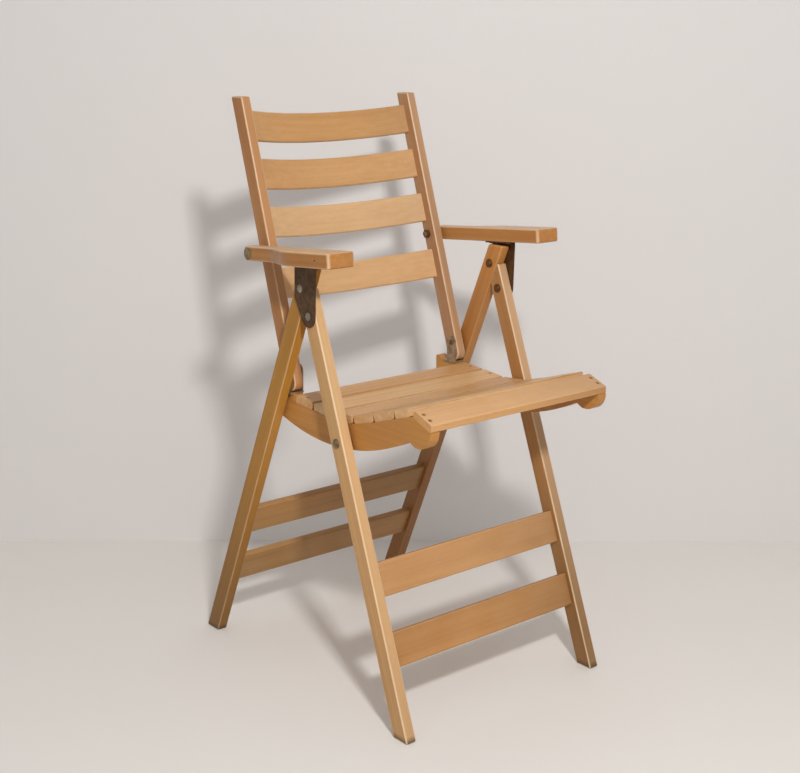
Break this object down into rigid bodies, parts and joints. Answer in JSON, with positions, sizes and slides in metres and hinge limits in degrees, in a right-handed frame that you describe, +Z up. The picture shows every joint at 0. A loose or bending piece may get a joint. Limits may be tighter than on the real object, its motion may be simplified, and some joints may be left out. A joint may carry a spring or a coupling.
{
  "type": "folding armchair",
  "caption": "Folding slatted wooden armchair with crossed leg frames, bowed back slats, dished seat and armrests that fold flat together.",
  "frame": {"origin": "on the floor under the middle of the opened chair", "axes": "+Z up, the sitter faces -Y, +X to the sitter's left"},
  "size_m": [0.47, 0.564, 0.917],
  "materials": {
    "wood": "satin varnish",
    "bracket_brown": "satin",
    "rivet_steel": "satin",
    "dark_steel": "satin"
  },
  "bodies": {
    "front_frame": {"front_leg_left": "wood", "front_leg_right": "wood", "front_rail_upper": "wood", "front_rail_lower": "wood", "seat_pivot_bolts": "dark_steel", "seat_pivot_spacers": "rivet_steel", "seat_pivot_nuts": "dark_steel"},
    "rear_frame": {"rear_leg_left": "wood", "rear_leg_right": "wood", "rear_rail_upper": "wood", "rear_rail_lower": "wood", "seat_stop_pins": "dark_steel"},
    "arms": {"armrest_left": "wood", "armrest_right": "wood", "arm_bracket_left": "bracket_brown", "arm_bracket_right": "bracket_brown", "bracket_screws": "dark_steel", "front_leg_rivets": "rivet_steel", "rear_leg_rivets": "rivet_steel", "leg_rivet_washers": "rivet_steel", "arm_pivot_bolts": "dark_steel", "arm_pivot_spacers": "rivet_steel", "arm_pivot_nuts": "rivet_steel"},
    "back": {"back_stile_left": "wood", "back_stile_right": "wood", "back_slat_1": "wood", "back_slat_2": "wood", "back_slat_3": "wood", "back_slat_4": "wood"},
    "seat": {"seat_rail_left": "wood", "seat_rail_right": "wood", "seat_slat_1": "wood", "seat_slat_2": "wood", "seat_slat_3": "wood", "seat_slat_4": "wood", "seat_slat_5": "wood", "seat_slat_6": "wood", "seat_front_board": "wood", "slat_screws": "dark_steel", "board_screws": "dark_steel", "back_hinge_left": "dark_steel", "back_hinge_right": "dark_steel", "hinge_screws": "dark_steel", "back_pivot_rivets": "rivet_steel", "back_pivot_washers": "rivet_steel"}
  },
  "joints": [
    {"name": "seat_fold", "type": "hinge", "parent": "front_frame", "child": "seat", "pos_m": [0, -0.09503, 0.41534], "axis": [-1, 0, 0], "range_deg": [0, 105.5]},
    {"name": "arms_fold", "type": "hinge", "parent": "front_frame", "child": "arms", "pos_m": [0, -0.02867, 0.59764], "axis": [-1, 0, 0], "range_deg": [0, 105.5]},
    {"name": "back_fold", "type": "hinge", "parent": "arms", "child": "back", "pos_m": [0, 0.12552, 0.6752], "axis": [-1, 0, 0], "range_deg": [-105.5, 0]},
    {"name": "rear_frame_fold", "type": "hinge", "parent": "arms", "child": "rear_frame", "pos_m": [0, -0.00817, 0.63757], "axis": [-1, 0, 0], "range_deg": [-62.2, 0]}
  ],
  "couplings": [
    {"joint": "arms_fold", "follows": "seat_fold", "ratio": 1},
    {"joint": "back_fold", "follows": "seat_fold", "ratio": -1},
    {"joint": "rear_frame_fold", "follows": "seat_fold", "ratio": -0.589}
  ]
}
